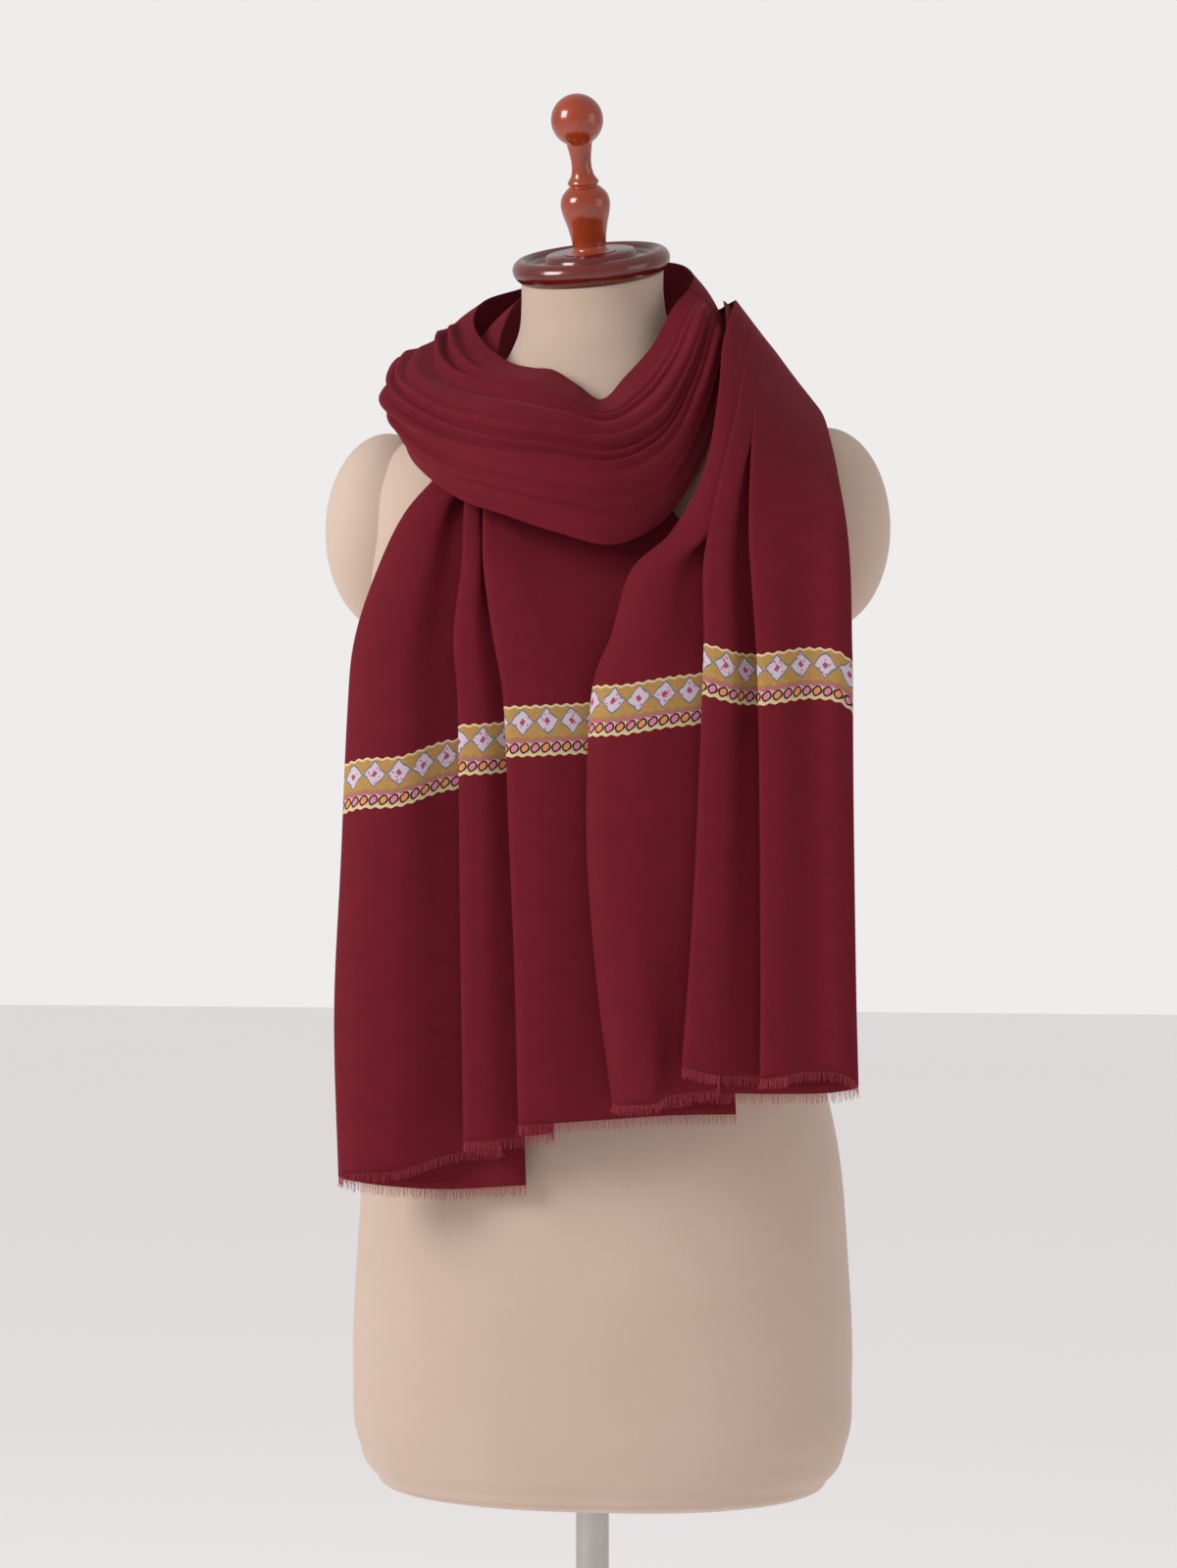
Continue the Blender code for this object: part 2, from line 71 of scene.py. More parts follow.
# One row for each level of the torso. shift is how far the level lies to the right of the pole,
# tilt how steeply it rises to the back, and square the exponent of its rounded outline.
TORSO = table("level half front back shift tilt square", (
    (0.5600, 0.132, 0.082, 0.088, 0.007, 0.00, 2.5),
    (0.5635, 0.152, 0.095, 0.100, 0.007, 0.00, 2.4),
    (0.5760, 0.172, 0.105, 0.110, 0.007, 0.00, 2.3),
    (0.6000, 0.184, 0.110, 0.116, 0.007, 0.00, 2.3),
    (0.6500, 0.188, 0.112, 0.120, 0.007, 0.00, 2.3),
    (0.7400, 0.185, 0.111, 0.118, 0.007, 0.00, 2.3),
    (0.8200, 0.178, 0.106, 0.110, 0.007, 0.00, 2.3),
    (0.9000, 0.160, 0.098, 0.098, 0.007, 0.00, 2.3),
    (0.9800, 0.140, 0.090, 0.090, 0.008, 0.00, 2.3),
    (1.0600, 0.146, 0.097, 0.093, 0.009, 0.00, 2.3),
    (1.1400, 0.162, 0.111, 0.100, 0.010, 0.00, 2.3),
    (1.2100, 0.176, 0.110, 0.104, 0.010, 0.00, 2.3),
    (1.2700, 0.184, 0.100, 0.104, 0.010, 0.00, 2.3),
    (1.3200, 0.178, 0.090, 0.098, 0.010, 0.00, 2.3),
    (1.3450, 0.160, 0.082, 0.090, 0.009, 0.00, 2.2),
    (1.3640, 0.128, 0.074, 0.082, 0.007, 0.00, 2.1),
    (1.3850, 0.096, 0.066, 0.074, 0.004, 0.05, 2.0),
    (1.4100, 0.071, 0.059, 0.064, 0.002, 0.12, 2.0),
    (1.4350, 0.057, 0.056, 0.058, 0.001, 0.20, 2.0),
    (1.4580, 0.0535, 0.053, 0.054, 0.000, 0.290, 2.0),
    (1.4756, 0.0535, 0.053, 0.054, 0.000, 0.3063, 2.0),
))

# The long end hangs on the left. One row for each level: where its three fold edges and its far
# edge lie across the front, and lie, how far it stands in front of the pole's axis.
LONG_LEVELS = table("level left second third right lie pleat", (
    (0.845, -0.167, -0.074, -0.034, 0.122, 0.142, 1.00),
    (0.950, -0.170, -0.076, -0.037, 0.118, 0.142, 1.00),
    (1.050, -0.166, -0.077, -0.041, 0.112, 0.142, 1.00),
    (1.150, -0.161, -0.078, -0.045, 0.105, 0.142, 0.95),
    (1.200, -0.155, -0.081, -0.053, 0.098, 0.142, 0.85),
    (1.250, -0.139, -0.077, -0.061, 0.088, 0.133, 0.70),
    (1.290, -0.122, -0.078, -0.064, 0.074, 0.117, 0.50),
    (1.320, -0.098, -0.078, -0.064, 0.020, 0.106, 0.35),
))

# How the long end runs across, from its hidden edge at the back round the left fold to its right
# edge: each row lies a distance across from a fold edge, stands forward of the lie (or behind it,
# below zero), and hangs to its own hem.
LONG_RUN = table("edge across forward hem spans", (
    ("left", 0.135, -0.0230, 0.803, 1),
    ("left", 0.070, -0.0240, 0.799, 1),
    ("left", 0.015, -0.0230, 0.803, 1),
    ("left", 0.000, -0.0120, 0.808, 1),
    ("left", 0.014, 0.0020, 0.813, 1),
    ("left", 0.045, 0.0040, 0.815, 1),
    ("second", -0.012, -0.0110, 0.826, 1),
    ("second", 0.022, -0.0150, 0.830, 1),
    ("second", 0.026, -0.0090, 0.832, 1),
    ("second", 0.004, -0.0020, 0.835, 1),
    ("second", 0.002, 0.0050, 0.837, 1),
    ("second", 0.018, 0.0060, 0.838, 1),
    ("third", 0.002, -0.0030, 0.840, 1),
    ("third", 0.024, -0.0060, 0.843, 1),
    ("third", 0.024, 0.0000, 0.845, 1),
    ("third", 0.004, 0.0050, 0.848, 1),
    ("third", 0.003, 0.0120, 0.850, 1),
    ("third", 0.022, 0.0130, 0.851, 1),
    ("third", 0.060, 0.0030, 0.853, 1),
    ("right", -0.045, -0.0100, 0.856, 1),
    ("right", 0.000, -0.0130, 0.857, 0),
))

# The short end comes over the right shoulder and falls in front. The upper rows slant with the
# shoulder, so each has a height and a lie for its left side and for its right side.
SHORT_LEVELS = table("level_left level_right lie_left lie_right first second third right pleat", (
    (0.885, 0.885, 0.162, 0.158, 0.037, 0.085, 0.140, 0.210, 1.00),
    (0.970, 0.970, 0.162, 0.158, 0.025, 0.091, 0.141, 0.208, 1.00),
    (1.060, 1.060, 0.162, 0.158, 0.018, 0.096, 0.141, 0.207, 1.00),
    (1.160, 1.160, 0.162, 0.157, 0.022, 0.100, 0.139, 0.206, 1.00),
    (1.200, 1.198, 0.162, 0.155, 0.036, 0.101, 0.137, 0.205, 0.95),
    (1.245, 1.236, 0.160, 0.152, 0.050, 0.100, 0.134, 0.204, 0.85),
    (1.272, 1.262, 0.156, 0.143, 0.078, 0.103, 0.132, 0.202, 0.75),
    (1.315, 1.288, 0.142, 0.124, 0.099, 0.110, 0.131, 0.198, 0.60),
    (1.370, 1.315, 0.109, 0.090, 0.106, 0.118, 0.130, 0.191, 0.50),
    (1.415, 1.343, 0.066, 0.047, 0.106, 0.119, 0.129, 0.183, 0.45),
    (1.446, 1.368, 0.022, 0.004, 0.108, 0.119, 0.130, 0.173, 0.40),
    (1.458, 1.386, -0.018, -0.032, 0.106, 0.115, 0.126, 0.160, 0.30),
))
SHORT_RUN = table("edge across forward hem spans", (
    ("first", 0.055, -0.0150, 0.871, 1),
    ("first", 0.016, -0.0140, 0.868, 1),
    ("first", 0.000, -0.0060, 0.866, 1),
    ("first", 0.010, 0.0040, 0.866, 1),
    ("first", 0.032, 0.0050, 0.868, 1),
    ("second", -0.008, -0.0040, 0.873, 1),
    ("second", 0.026, -0.0090, 0.879, 1),
    ("second", 0.026, -0.0030, 0.886, 1),
    ("second", 0.003, 0.0030, 0.892, 1),
    ("second", 0.003, 0.0090, 0.894, 1),
    ("second", 0.022, 0.0090, 0.889, 1),
    ("third", -0.007, -0.0010, 0.887, 1),
    ("third", 0.019, -0.0060, 0.887, 1),
    ("third", 0.019, 0.0000, 0.886, 1),
    ("third", 0.003, 0.0050, 0.885, 1),
    ("third", 0.003, 0.0110, 0.886, 1),
    ("third", 0.018, 0.0110, 0.888, 1),
    ("right", -0.030, 0.0010, 0.891, 1),
    ("right", -0.008, 0.0000, 0.888, 1),
    ("right", 0.000, -0.0060, 0.880, 1),
    ("right", -0.014, -0.0150, 0.875, 1),
    ("right", -0.060, -0.0160, 0.873, 1),
    ("right", -0.116, -0.0150, 0.874, 0),
))

# The windings. turn is the angle round the neck in degrees: 0 at the left, 90 behind, 180 at the
# right, 270 in front, and on round to the right shoulder. Each row gives the radius and height of
# the winding's upper edge, of its widest line and of its lower edge.
WINDING = table("turn top_r top_z belly_r belly_z low_r low_z", (
    (-38, 0.078, 1.394, 0.104, 1.376, 0.124, 1.354),
    (0, 0.067, 1.440, 0.092, 1.420, 0.108, 1.390),
    (45, 0.071, 1.474, 0.092, 1.450, 0.104, 1.422),
    (90, 0.076, 1.494, 0.094, 1.460, 0.104, 1.424),
    (135, 0.079, 1.492, 0.094, 1.456, 0.102, 1.416),
    (170, 0.076, 1.474, 0.096, 1.446, 0.102, 1.404),
    (188, 0.074, 1.463, 0.099, 1.436, 0.104, 1.395),
    (208, 0.072, 1.445, 0.108, 1.416, 0.116, 1.378),
    (226, 0.074, 1.416, 0.126, 1.376, 0.134, 1.326),
    (244, 0.077, 1.392, 0.152, 1.330, 0.150, 1.278),
    (258, 0.081, 1.374, 0.166, 1.316, 0.160, 1.263),
    (270, 0.079, 1.385, 0.170, 1.322, 0.162, 1.271),
    (285, 0.073, 1.397, 0.170, 1.330, 0.160, 1.285),
    (300, 0.073, 1.400, 0.164, 1.342, 0.158, 1.299),
    (315, 0.075, 1.405, 0.162, 1.360, 0.159, 1.324),
    (330, 0.080, 1.416, 0.154, 1.378, 0.149, 1.349),
    (345, 0.086, 1.430, 0.141, 1.398, 0.135, 1.370),
    (360, 0.091, 1.443, 0.131, 1.414, 0.127, 1.390),
    (380, 0.096, 1.461, 0.127, 1.434, 0.122, 1.408),
    (410, 0.100, 1.478, 0.128, 1.448, 0.124, 1.416),
    (450, 0.101, 1.502, 0.131, 1.458, 0.128, 1.418),
    (472, 0.100, 1.503, 0.130, 1.458, 0.128, 1.416),
    (486, 0.100, 1.480, 0.130, 1.444, 0.130, 1.408),
    (500, 0.100, 1.455, 0.131, 1.430, 0.134, 1.398),
))
WINDING_START, LOOP_START, LOOP_END, WINDING_END = -38.0, 188.0, 368.0, 500.0

# The deepest creases of the front loop. Each runs from the right (turn 200) by way of the front
# (turn 268) to the left (turn 345); place is 0 at the upper edge and 1 at the lower edge.
CREASES = table("right front left depth_right depth_front depth_left width", (
    (0.36, 0.46, 0.50, 0.007, 0.011, 0.006, 0.075),
    (0.66, 0.74, 0.68, 0.006, 0.008, 0.006, 0.070),
    (0.84, 0.90, 0.86, 0.004, 0.005, 0.004, 0.060),
))
CREASE_TURNS = (200.0, 268.0, 345.0)

# Outlines of the turned wood, as radius and height above the cap's underside.
CAP_PROFILE = (
    (0.0330, 0.0180), (0.0345, 0.0160), (0.0360, 0.0135), (0.0470, 0.0130), (0.0500, 0.0155),
    (0.0535, 0.0170), (0.0572, 0.0150), (0.0593, 0.0115), (0.0595, 0.0080), (0.0580, 0.0040),
    (0.0550, 0.0010), (0.0525, 0.0000))
FINIAL_PROFILE = (
    (0.0096, 0.0995), (0.0082, 0.0920), (0.0074, 0.0840), (0.0086, 0.0760), (0.0118, 0.0700),
    (0.0104, 0.0682), (0.0128, 0.0660), (0.0170, 0.0610), (0.0186, 0.0550), (0.0178, 0.0480),
    (0.0150, 0.0380), (0.0130, 0.0270), (0.0128, 0.0210), (0.0150, 0.0190), (0.0200, 0.0186))
BALL_RADIUS = 0.0195
BALL_CENTRE = 0.1168


# Finer creases, in the same columns: the gathers at the left and the soft folds between.
FINE_CREASES = table("right front left depth_right depth_front depth_left width", (
    (0.18, 0.24, 0.20, 0.000, 0.004, 0.009, 0.026),
    (0.26, 0.33, 0.31, 0.002, 0.007, 0.009, 0.024),
    (0.44, 0.55, 0.58, 0.003, 0.008, 0.009, 0.022),
    (0.50, 0.61, 0.64, 0.000, 0.006, 0.009, 0.018),
    (0.55, 0.67, 0.73, 0.003, 0.006, 0.009, 0.018),
    (0.74, 0.83, 0.79, 0.004, 0.006, 0.008, 0.022),
))


# ---------------------------------------------------------------- curves through tables

def smooth(places, values, at):
    """Cubic curve through the rows of a table, read at one place or at many."""
    places = np.asarray(places, float)
    values = np.asarray(values, float)
    slopes = np.gradient(values, places)
    at = np.clip(np.asarray(at, float), places.min(), places.max())
    spot = np.clip(np.searchsorted(places, at, side="right") - 1, 0, len(places) - 2)
    width = places[spot + 1] - places[spot]
    t = (at - places[spot]) / width
    return ((1 + 2 * t) * (1 - t) ** 2 * values[spot] + t * (1 - t) ** 2 * width * slopes[spot]
            + t * t * (3 - 2 * t) * values[spot + 1] + t * t * (t - 1) * width * slopes[spot + 1])


def column(rows, name):
    return [getattr(row, name) for row in rows]


def through(points, spans, finer=1):
    """A smooth curve through points, with a set number of steps in each span."""
    points = np.asarray(points, float)
    knots = np.concatenate(([0.0], np.cumsum(
        np.maximum(np.linalg.norm(np.diff(points[:, :2], axis=0), axis=1), 0.002) ** 0.6)))
    places = [knots[i] + (knots[i + 1] - knots[i]) * k / (n * finer)
              for i, n in enumerate(spans[:-1]) for k in range(n * finer)]
    places.append(knots[-1])
    return np.column_stack([smooth(knots, points[:, axis], places) for axis in range(points.shape[1])])


# ---------------------------------------------------------------- form

def torso_row(level):
    levels = column(TORSO, "level")
    half, front, back, shift, tilt, square = (
        float(smooth(levels, column(TORSO, name), level))
        for name in ("half", "front", "back", "shift", "tilt", "square"))
    angles = np.arange(SECTION_SIDES) * 2 * math.pi / SECTION_SIDES
    across = np.sign(np.cos(angles)) * np.abs(np.cos(angles)) ** (2 / square)
    along = np.sign(np.sin(angles)) * np.abs(np.sin(angles)) ** (2 / square)
    y = np.where(along < 0, along * front, along * back)
    x = shift + half * across
    return np.column_stack((x, y, level + tilt * (y + CAP_ROLL_SHARE * x)))


# ---------------------------------------------------------------- shawl

def winding_section(turn, steps):
    """Points across a winding, from just inside its upper edge to the tuck of its lower edge."""
    turns = column(WINDING, "turn")
    top_r, top_z, belly_r, belly_z, low_r, low_z = (
        float(smooth(turns, column(WINDING, name), turn))
        for name in ("top_r", "top_z", "belly_r", "belly_z", "low_r", "low_z"))
    outline = ((top_r, top_z), (0.45 * top_r + 0.55 * belly_r, 0.62 * top_z + 0.38 * belly_z),
               (belly_r, belly_z), (low_r, low_z))
    across = through(outline, [steps, steps, steps, 0])
    count = len(across)
    place = np.linspace(0.0, 1.0, count)
    dent = np.zeros(count)
    for crease in CREASES + FINE_CREASES:
        middle = float(smooth(CREASE_TURNS, (crease.right, crease.front, crease.left), turn))
        depths = (crease.depth_right, crease.depth_front, crease.depth_left)
        depth = float(smooth(CREASE_TURNS, depths, turn))
        fade = min(max((turn - LOOP_START) / 15, 0), 1) * min(max((LOOP_END - turn) / 15, 0), 1)
        dent += depth * fade * np.exp(-((place - middle) / crease.width) ** 2)
    run = np.gradient(across, axis=0)
    run /= np.linalg.norm(run, axis=1)[:, None]
    across = across + dent[:, None] * np.column_stack((-run[:, 1], run[:, 0]))
    angle = math.radians(turn)
    radius, height = across[:, 0], across[:, 1]
    return np.column_stack((-math.cos(angle) * radius, math.sin(angle) * radius, height))


def end_section(levels, run, spot, heights, lies):
    """Points across a hanging end at one row of its level table, spot, which may be a fraction."""
    order = np.arange(len(levels))

    def read(name):
        return float(smooth(order, column(levels, name), spot))

    x_left, x_right = read(levels[0]._fields[heights[2]]), read("right")
    hang = max(0.0, 1.0 - spot / HANG_ROWS)
    points = []
    for row in run:
        x = read(row.edge) + row.across * (0.35 + 0.65 * read("pleat"))
        share = min(max((x - x_left) / (x_right - x_left), 0.0), 1.0)
        level = (1 - share) * read(heights[0]) + share * read(heights[1])
        lie = (1 - share) * read(lies[0]) + share * read(lies[1])
        level += hang ** 2 * (row.hem - levels[0][0])
        points.append((x, -(lie + row.forward * read("pleat")), level))
    return through(points, column(run, "spans"), FINER)


HANG_ROWS = 5.0              # rows above the hem over which its slope fades out
LONG_COLUMNS = (("level", "level", 1), ("lie", "lie"))
SHORT_COLUMNS = (("level_left", "level_right", 4), ("lie_left", "lie_right"))


def long_end_rows(steps):
    """The long end from its hem up under the loop, where it is drawn in to the winding's start."""
    rows = [end_section(LONG_LEVELS, LONG_RUN, spot, *LONG_COLUMNS)
            for spot in np.linspace(0, len(LONG_LEVELS) - 1, steps)]
    last = rows[-1]
    start = gathered(WINDING_START, len(last))[::-1]
    for share in (0.25, 0.5, 0.75, 1.0):
        row = (1 - share) * last + share * start
        out = row[:, :2] / np.linalg.norm(row[:, :2], axis=1)[:, None]
        row[:, :2] += out * GATHER_PUFF * math.sin(math.pi * share)
        rows.append(row)
    return rows


def short_end_rows(steps):
    """The short end from its hem up over the shoulder to the winding's end."""
    rows = [end_section(SHORT_LEVELS, SHORT_RUN, spot, *SHORT_COLUMNS)
            for spot in np.linspace(0, len(SHORT_LEVELS) - 1, steps)]
    last = rows[-1]
    start = gathered(WINDING_END, len(last))
    for share in (0.34, 0.67, 1.0):
        rows.append((1 - share) * last + share * start)
    return rows


def gathered(turn, count):
    """A winding's section read at a set number of even steps."""
    points = winding_section(turn, 24)
    places = np.linspace(0, len(points) - 1, count)
    order = np.arange(len(points))
    return np.column_stack([np.interp(places, order, points[:, axis]) for axis in range(3)])


# ---------------------------------------------------------------- materials

def linear(code):
    """A colour from its sRGB hex value."""
    parts = [int(code[i:i + 2], 16) / 255 for i in (1, 3, 5)]
    return tuple(c / 12.92 if c <= 0.04045 else ((c + 0.055) / 1.055) ** 2.4 for c in parts) + (1.0,)


def node(tree, kind, settings=None, **links):
    """Add a node; settings are its properties, links are values or sockets by input name or number."""
    made = tree.nodes.new(kind)
    for name, value in (settings or {}).items():
        setattr(made, name, value)
    for key, value in links.items():
        socket = made.inputs[int(key[1:])] if key[0] == "i" and key[1:].isdigit() else made.inputs[
            key.replace("_", " ")]
        if isinstance(value, bpy.types.NodeSocket):
            tree.links.new(value, socket)
        else:
            socket.default_value = value
    return made


def new_material(name, roughness, **sockets):
    made = bpy.data.materials.new(name)
    made.use_nodes = True
    shader = made.node_tree.nodes["Principled BSDF"]
    shader.inputs["Roughness"].default_value = roughness
    for key, value in sockets.items():
        shader.inputs[key.replace("_", " ")].default_value = value
    return made, made.node_tree, shader


def mixed(tree, share, low, high):
    made = node(tree, "ShaderNodeMix", dict(data_type="RGBA"))
    for place, value in ((0, share), (6, low), (7, high)):
        if isinstance(value, bpy.types.NodeSocket):
            tree.links.new(value, made.inputs[place])
        else:
            made.inputs[place].default_value = value
    return made.outputs[2]


def maths(tree, operation, a, b=0.0, c=0.0):
    return node(tree, "ShaderNodeMath", dict(operation=operation), i0=a, i1=b, i2=c).outputs[0]


def bump(tree, shader, height, strength, distance):
    made = node(tree, "ShaderNodeBump", Strength=strength, Distance=distance, Height=height)
    tree.links.new(made.outputs[0], shader.inputs["Normal"])


BAND_FOOT = 0.262            # the border's foot above the hem
BAND_HIGH = 0.036
LOZENGE = 0.0178
FLORET = 0.0075
SCALLOP = 0.0006
EDGE_LINE = 0.0016            # the pale outline along the border's head and foot


def pashmina(name, banded):
    """Dyed pashmina: a fine twill with a short nap that softens the light, deep crimson."""
    made, tree, shader = new_material(name, 0.85, Sheen_Weight=0.22, Sheen_Roughness=0.4,
                                      Specular_IOR_Level=0.2)
    shader.inputs["Sheen Tint"].default_value = linear("#B03A4C")
    uv = node(tree, "ShaderNodeUVMap", dict(uv_map="cloth"))
    split = node(tree, "ShaderNodeSeparateXYZ", Vector=uv.outputs[0])
    u, v = split.outputs[0], split.outputs[1]
    cloud = node(tree, "ShaderNodeTexNoise", Vector=uv.outputs[0], Scale=60.0, Detail=4.0).outputs[0]
    slub = node(tree, "ShaderNodeTexNoise", Vector=uv.outputs[0], Scale=900.0, Detail=2.0).outputs[0]
    twill = maths(tree, "SINE", maths(tree, "MULTIPLY", maths(tree, "ADD", u, v), 2 * math.pi / 0.0011))
    base = mixed(tree, cloud, linear("#5A0A17"), linear("#6E0F20"))
    base = mixed(tree, maths(tree, "MULTIPLY_ADD", twill, 0.10, 0.12), base, linear("#8A2032"))
    height = maths(tree, "MULTIPLY_ADD", twill, 0.3, slub)
    if banded:
        base, height = border(tree, u, v, base, height)
    tree.links.new(base, shader.inputs["Base Color"])
    bump(tree, shader, height, 0.35, 0.0004)
    return made


def border(tree, u, v, ground, height):
    """The worked border: lozenges on gold over a dark row of flower heads, laid out on the cloth."""
    turn = maths(tree, "MULTIPLY", u, 2 * math.pi / FLORET)
    wave = maths(tree, "MULTIPLY", maths(tree, "SINE", turn), SCALLOP)
    rise = maths(tree, "SUBTRACT", maths(tree, "ADD", v, wave), BAND_FOOT)
    inside = maths(tree, "MULTIPLY", maths(tree, "GREATER_THAN", rise, 0.0),
                   maths(tree, "LESS_THAN", rise, BAND_HIGH))
    main = maths(tree, "GREATER_THAN", rise, 0.0135)
    across = maths(tree, "ABSOLUTE", maths(tree, "SUBTRACT", maths(tree, "FRACT", maths(
        tree, "DIVIDE", u, LOZENGE)), 0.5))
    up = maths(tree, "ABSOLUTE", maths(tree, "DIVIDE", maths(tree, "SUBTRACT", rise, 0.0245), 0.0200))
    shape = maths(tree, "ADD", across, up)
    thread = node(tree, "ShaderNodeTexNoise", Scale=1500.0, Detail=2.0, Vector=node(
        tree, "ShaderNodeUVMap", dict(uv_map="cloth")).outputs[0]).outputs[0]
    dots = node(tree, "ShaderNodeTexVoronoi", Scale=330.0, Vector=node(
        tree, "ShaderNodeUVMap", dict(uv_map="cloth")).outputs[0])
    speck = maths(tree, "LESS_THAN", dots.outputs[0], 0.30)
    gold = mixed(tree, thread, linear("#8A6A32"), linear("#D9B368"))
    colour = mixed(tree, speck, gold, linear("#E08A5C"))
    lilac = mixed(tree, speck, linear("#D8CBD8"), linear("#C9789A"))
    colour = mixed(tree, maths(tree, "LESS_THAN", shape, 0.50), colour, linear("#6E7C86"))
    colour = mixed(tree, maths(tree, "LESS_THAN", shape, 0.43), colour, lilac)
    colour = mixed(tree, maths(tree, "LESS_THAN", shape, 0.13), colour, linear("#B04A6E"))
    ring = maths(tree, "FRACT", maths(tree, "DIVIDE", u, FLORET))
    head = maths(tree, "ADD", maths(tree, "POWER", maths(tree, "SUBTRACT", ring, 0.5), 2.0), maths(
        tree, "POWER", maths(tree, "DIVIDE", maths(tree, "SUBTRACT", rise, 0.0058), FLORET), 2.0))
    odd = maths(tree, "GREATER_THAN", maths(tree, "FRACT", maths(tree, "DIVIDE", u, 2 * FLORET)), 0.5)
    flower = mixed(tree, odd, linear("#DE8AA6"), linear("#E89A62"))
    low = mixed(tree, maths(tree, "LESS_THAN", head, 0.24), linear("#D8C79C"), linear("#3A0C1C"))
    low = mixed(tree, maths(tree, "LESS_THAN", head, 0.10), low, flower)
    low = mixed(tree, maths(tree, "GREATER_THAN", rise, 0.0095), low, linear("#C06A86"))
    low = mixed(tree, maths(tree, "GREATER_THAN", rise, 0.0118), low, linear("#A8864A"))
    low = mixed(tree, maths(tree, "LESS_THAN", rise, EDGE_LINE), low, linear("#E2CE9A"))
    colour = mixed(tree, main, low, colour)
    crest = maths(tree, "GREATER_THAN", rise, BAND_HIGH - EDGE_LINE)
    colour = mixed(tree, crest, colour, linear("#E6D3A4"))
    colour = mixed(tree, maths(tree, "MULTIPLY", thread, 0.35), colour, linear("#5A2A20"))
    raised = maths(tree, "MULTIPLY_ADD", inside, 1.5, height)
    return mixed(tree, inside, ground, colour), raised


def simple(name, low, high, roughness, scale, depth, **sockets):
    made, tree, shader = new_material(name, roughness, **sockets)
    where = node(tree, "ShaderNodeTexCoord").outputs["Object"]
    cloud = node(tree, "ShaderNodeTexNoise", Vector=where, Scale=scale, Detail=6.0).outputs[0]
    tree.links.new(mixed(tree, cloud, linear(low), linear(high)), shader.inputs["Base Color"])
    if depth:
        grain = node(tree, "ShaderNodeTexNoise", Vector=where, Scale=1400.0, Detail=3.0).outputs[0]
        bump(tree, shader, grain, depth, 0.0006)
    return made


# ---------------------------------------------------------------- pieces

def finish_piece(name, rows, look, closed=False, capped=False, wall=0.0, measured_at=0.0):
    """A smooth piece through rows of points, with its cloth measured into a UV map in metres."""
    rows = np.asarray(rows)
    count, width = rows.shape[:2]
    faces = [(i * width + j, i * width + (j + 1) % width,
              (i + 1) * width + (j + 1) % width, (i + 1) * width + j)
             for i in range(count - 1) for j in range(width if closed else width - 1)]
    if capped:
        faces.append(tuple(range(width - 1, -1, -1)))
        faces.append(tuple((count - 1) * width + j for j in range(width)))
    mesh = bpy.data.meshes.new(name)
    mesh.from_pydata([tuple(p) for p in rows.reshape(-1, 3)], [], faces)
    steps = np.linalg.norm(np.diff(rows, axis=0), axis=2)
    along = np.vstack((np.zeros(width), np.cumsum(steps, axis=0)))
    level = int(np.argmin(np.abs(along.mean(axis=1) - measured_at)))
    across = np.concatenate(([0.0], np.cumsum(np.linalg.norm(np.diff(rows[level], axis=0), axis=1))))
    layer = mesh.uv_layers.new(name="cloth")
    for loop in mesh.loops:
        i, j = divmod(loop.vertex_index, width)
        layer.data[loop.index].uv = (across[j], along[i, j])
    mesh.materials.append(look)
    mesh.shade_smooth()
    piece = bpy.data.objects.new(name, mesh)
    bpy.context.scene.collection.objects.link(piece)
    if wall:
        shell = piece.modifiers.new("wall", "SOLIDIFY")
        shell.thickness = wall
        shell.offset = 0.0
    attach(piece, "root")
    return piece, (float(np.linalg.norm(np.diff(rows, axis=1), axis=2).sum(axis=1).mean()),
                   float(along[-1].mean()))


def undulate(rows, size, depth, seed):
    """Soft, low waves moved across the cloth, so that no stretch is perfectly even."""
    rows = np.array(rows)
    for line in rows:
        for point in line:
            place = Vector((point[0] / size + seed, point[1] / size, point[2] / (3 * size)))
            shift = noise.noise_vector(place)
            point += np.array((shift.x * 0.5, shift.y, 0.0)) * depth
    return rows


AXIS_RADIUS = 0.00002        # where a profile meets its axis, so that no faces collapse


def turned_rows(profile, steps, place):
    """Rings of points round the axis, one for each point of the profile, put in place."""
    rows = []
    angles = -np.arange(steps) * 2 * math.pi / steps
    for radius, height in profile:
        ring = max(radius, AXIS_RADIUS)
        rows.append([place @ Vector((ring * math.cos(a), ring * math.sin(a), height)) for a in angles])
    return rows


def softened(profile, steps=8):
    return through(np.asarray(profile), [1] * len(profile), steps)


YARN_SPACING = 0.00075       # drawn coarser than the real yarns, so that they show
YARN_RADIUS = 0.00022
YARN_OVERLAP = 0.0006        # how far each yarn starts above the hem


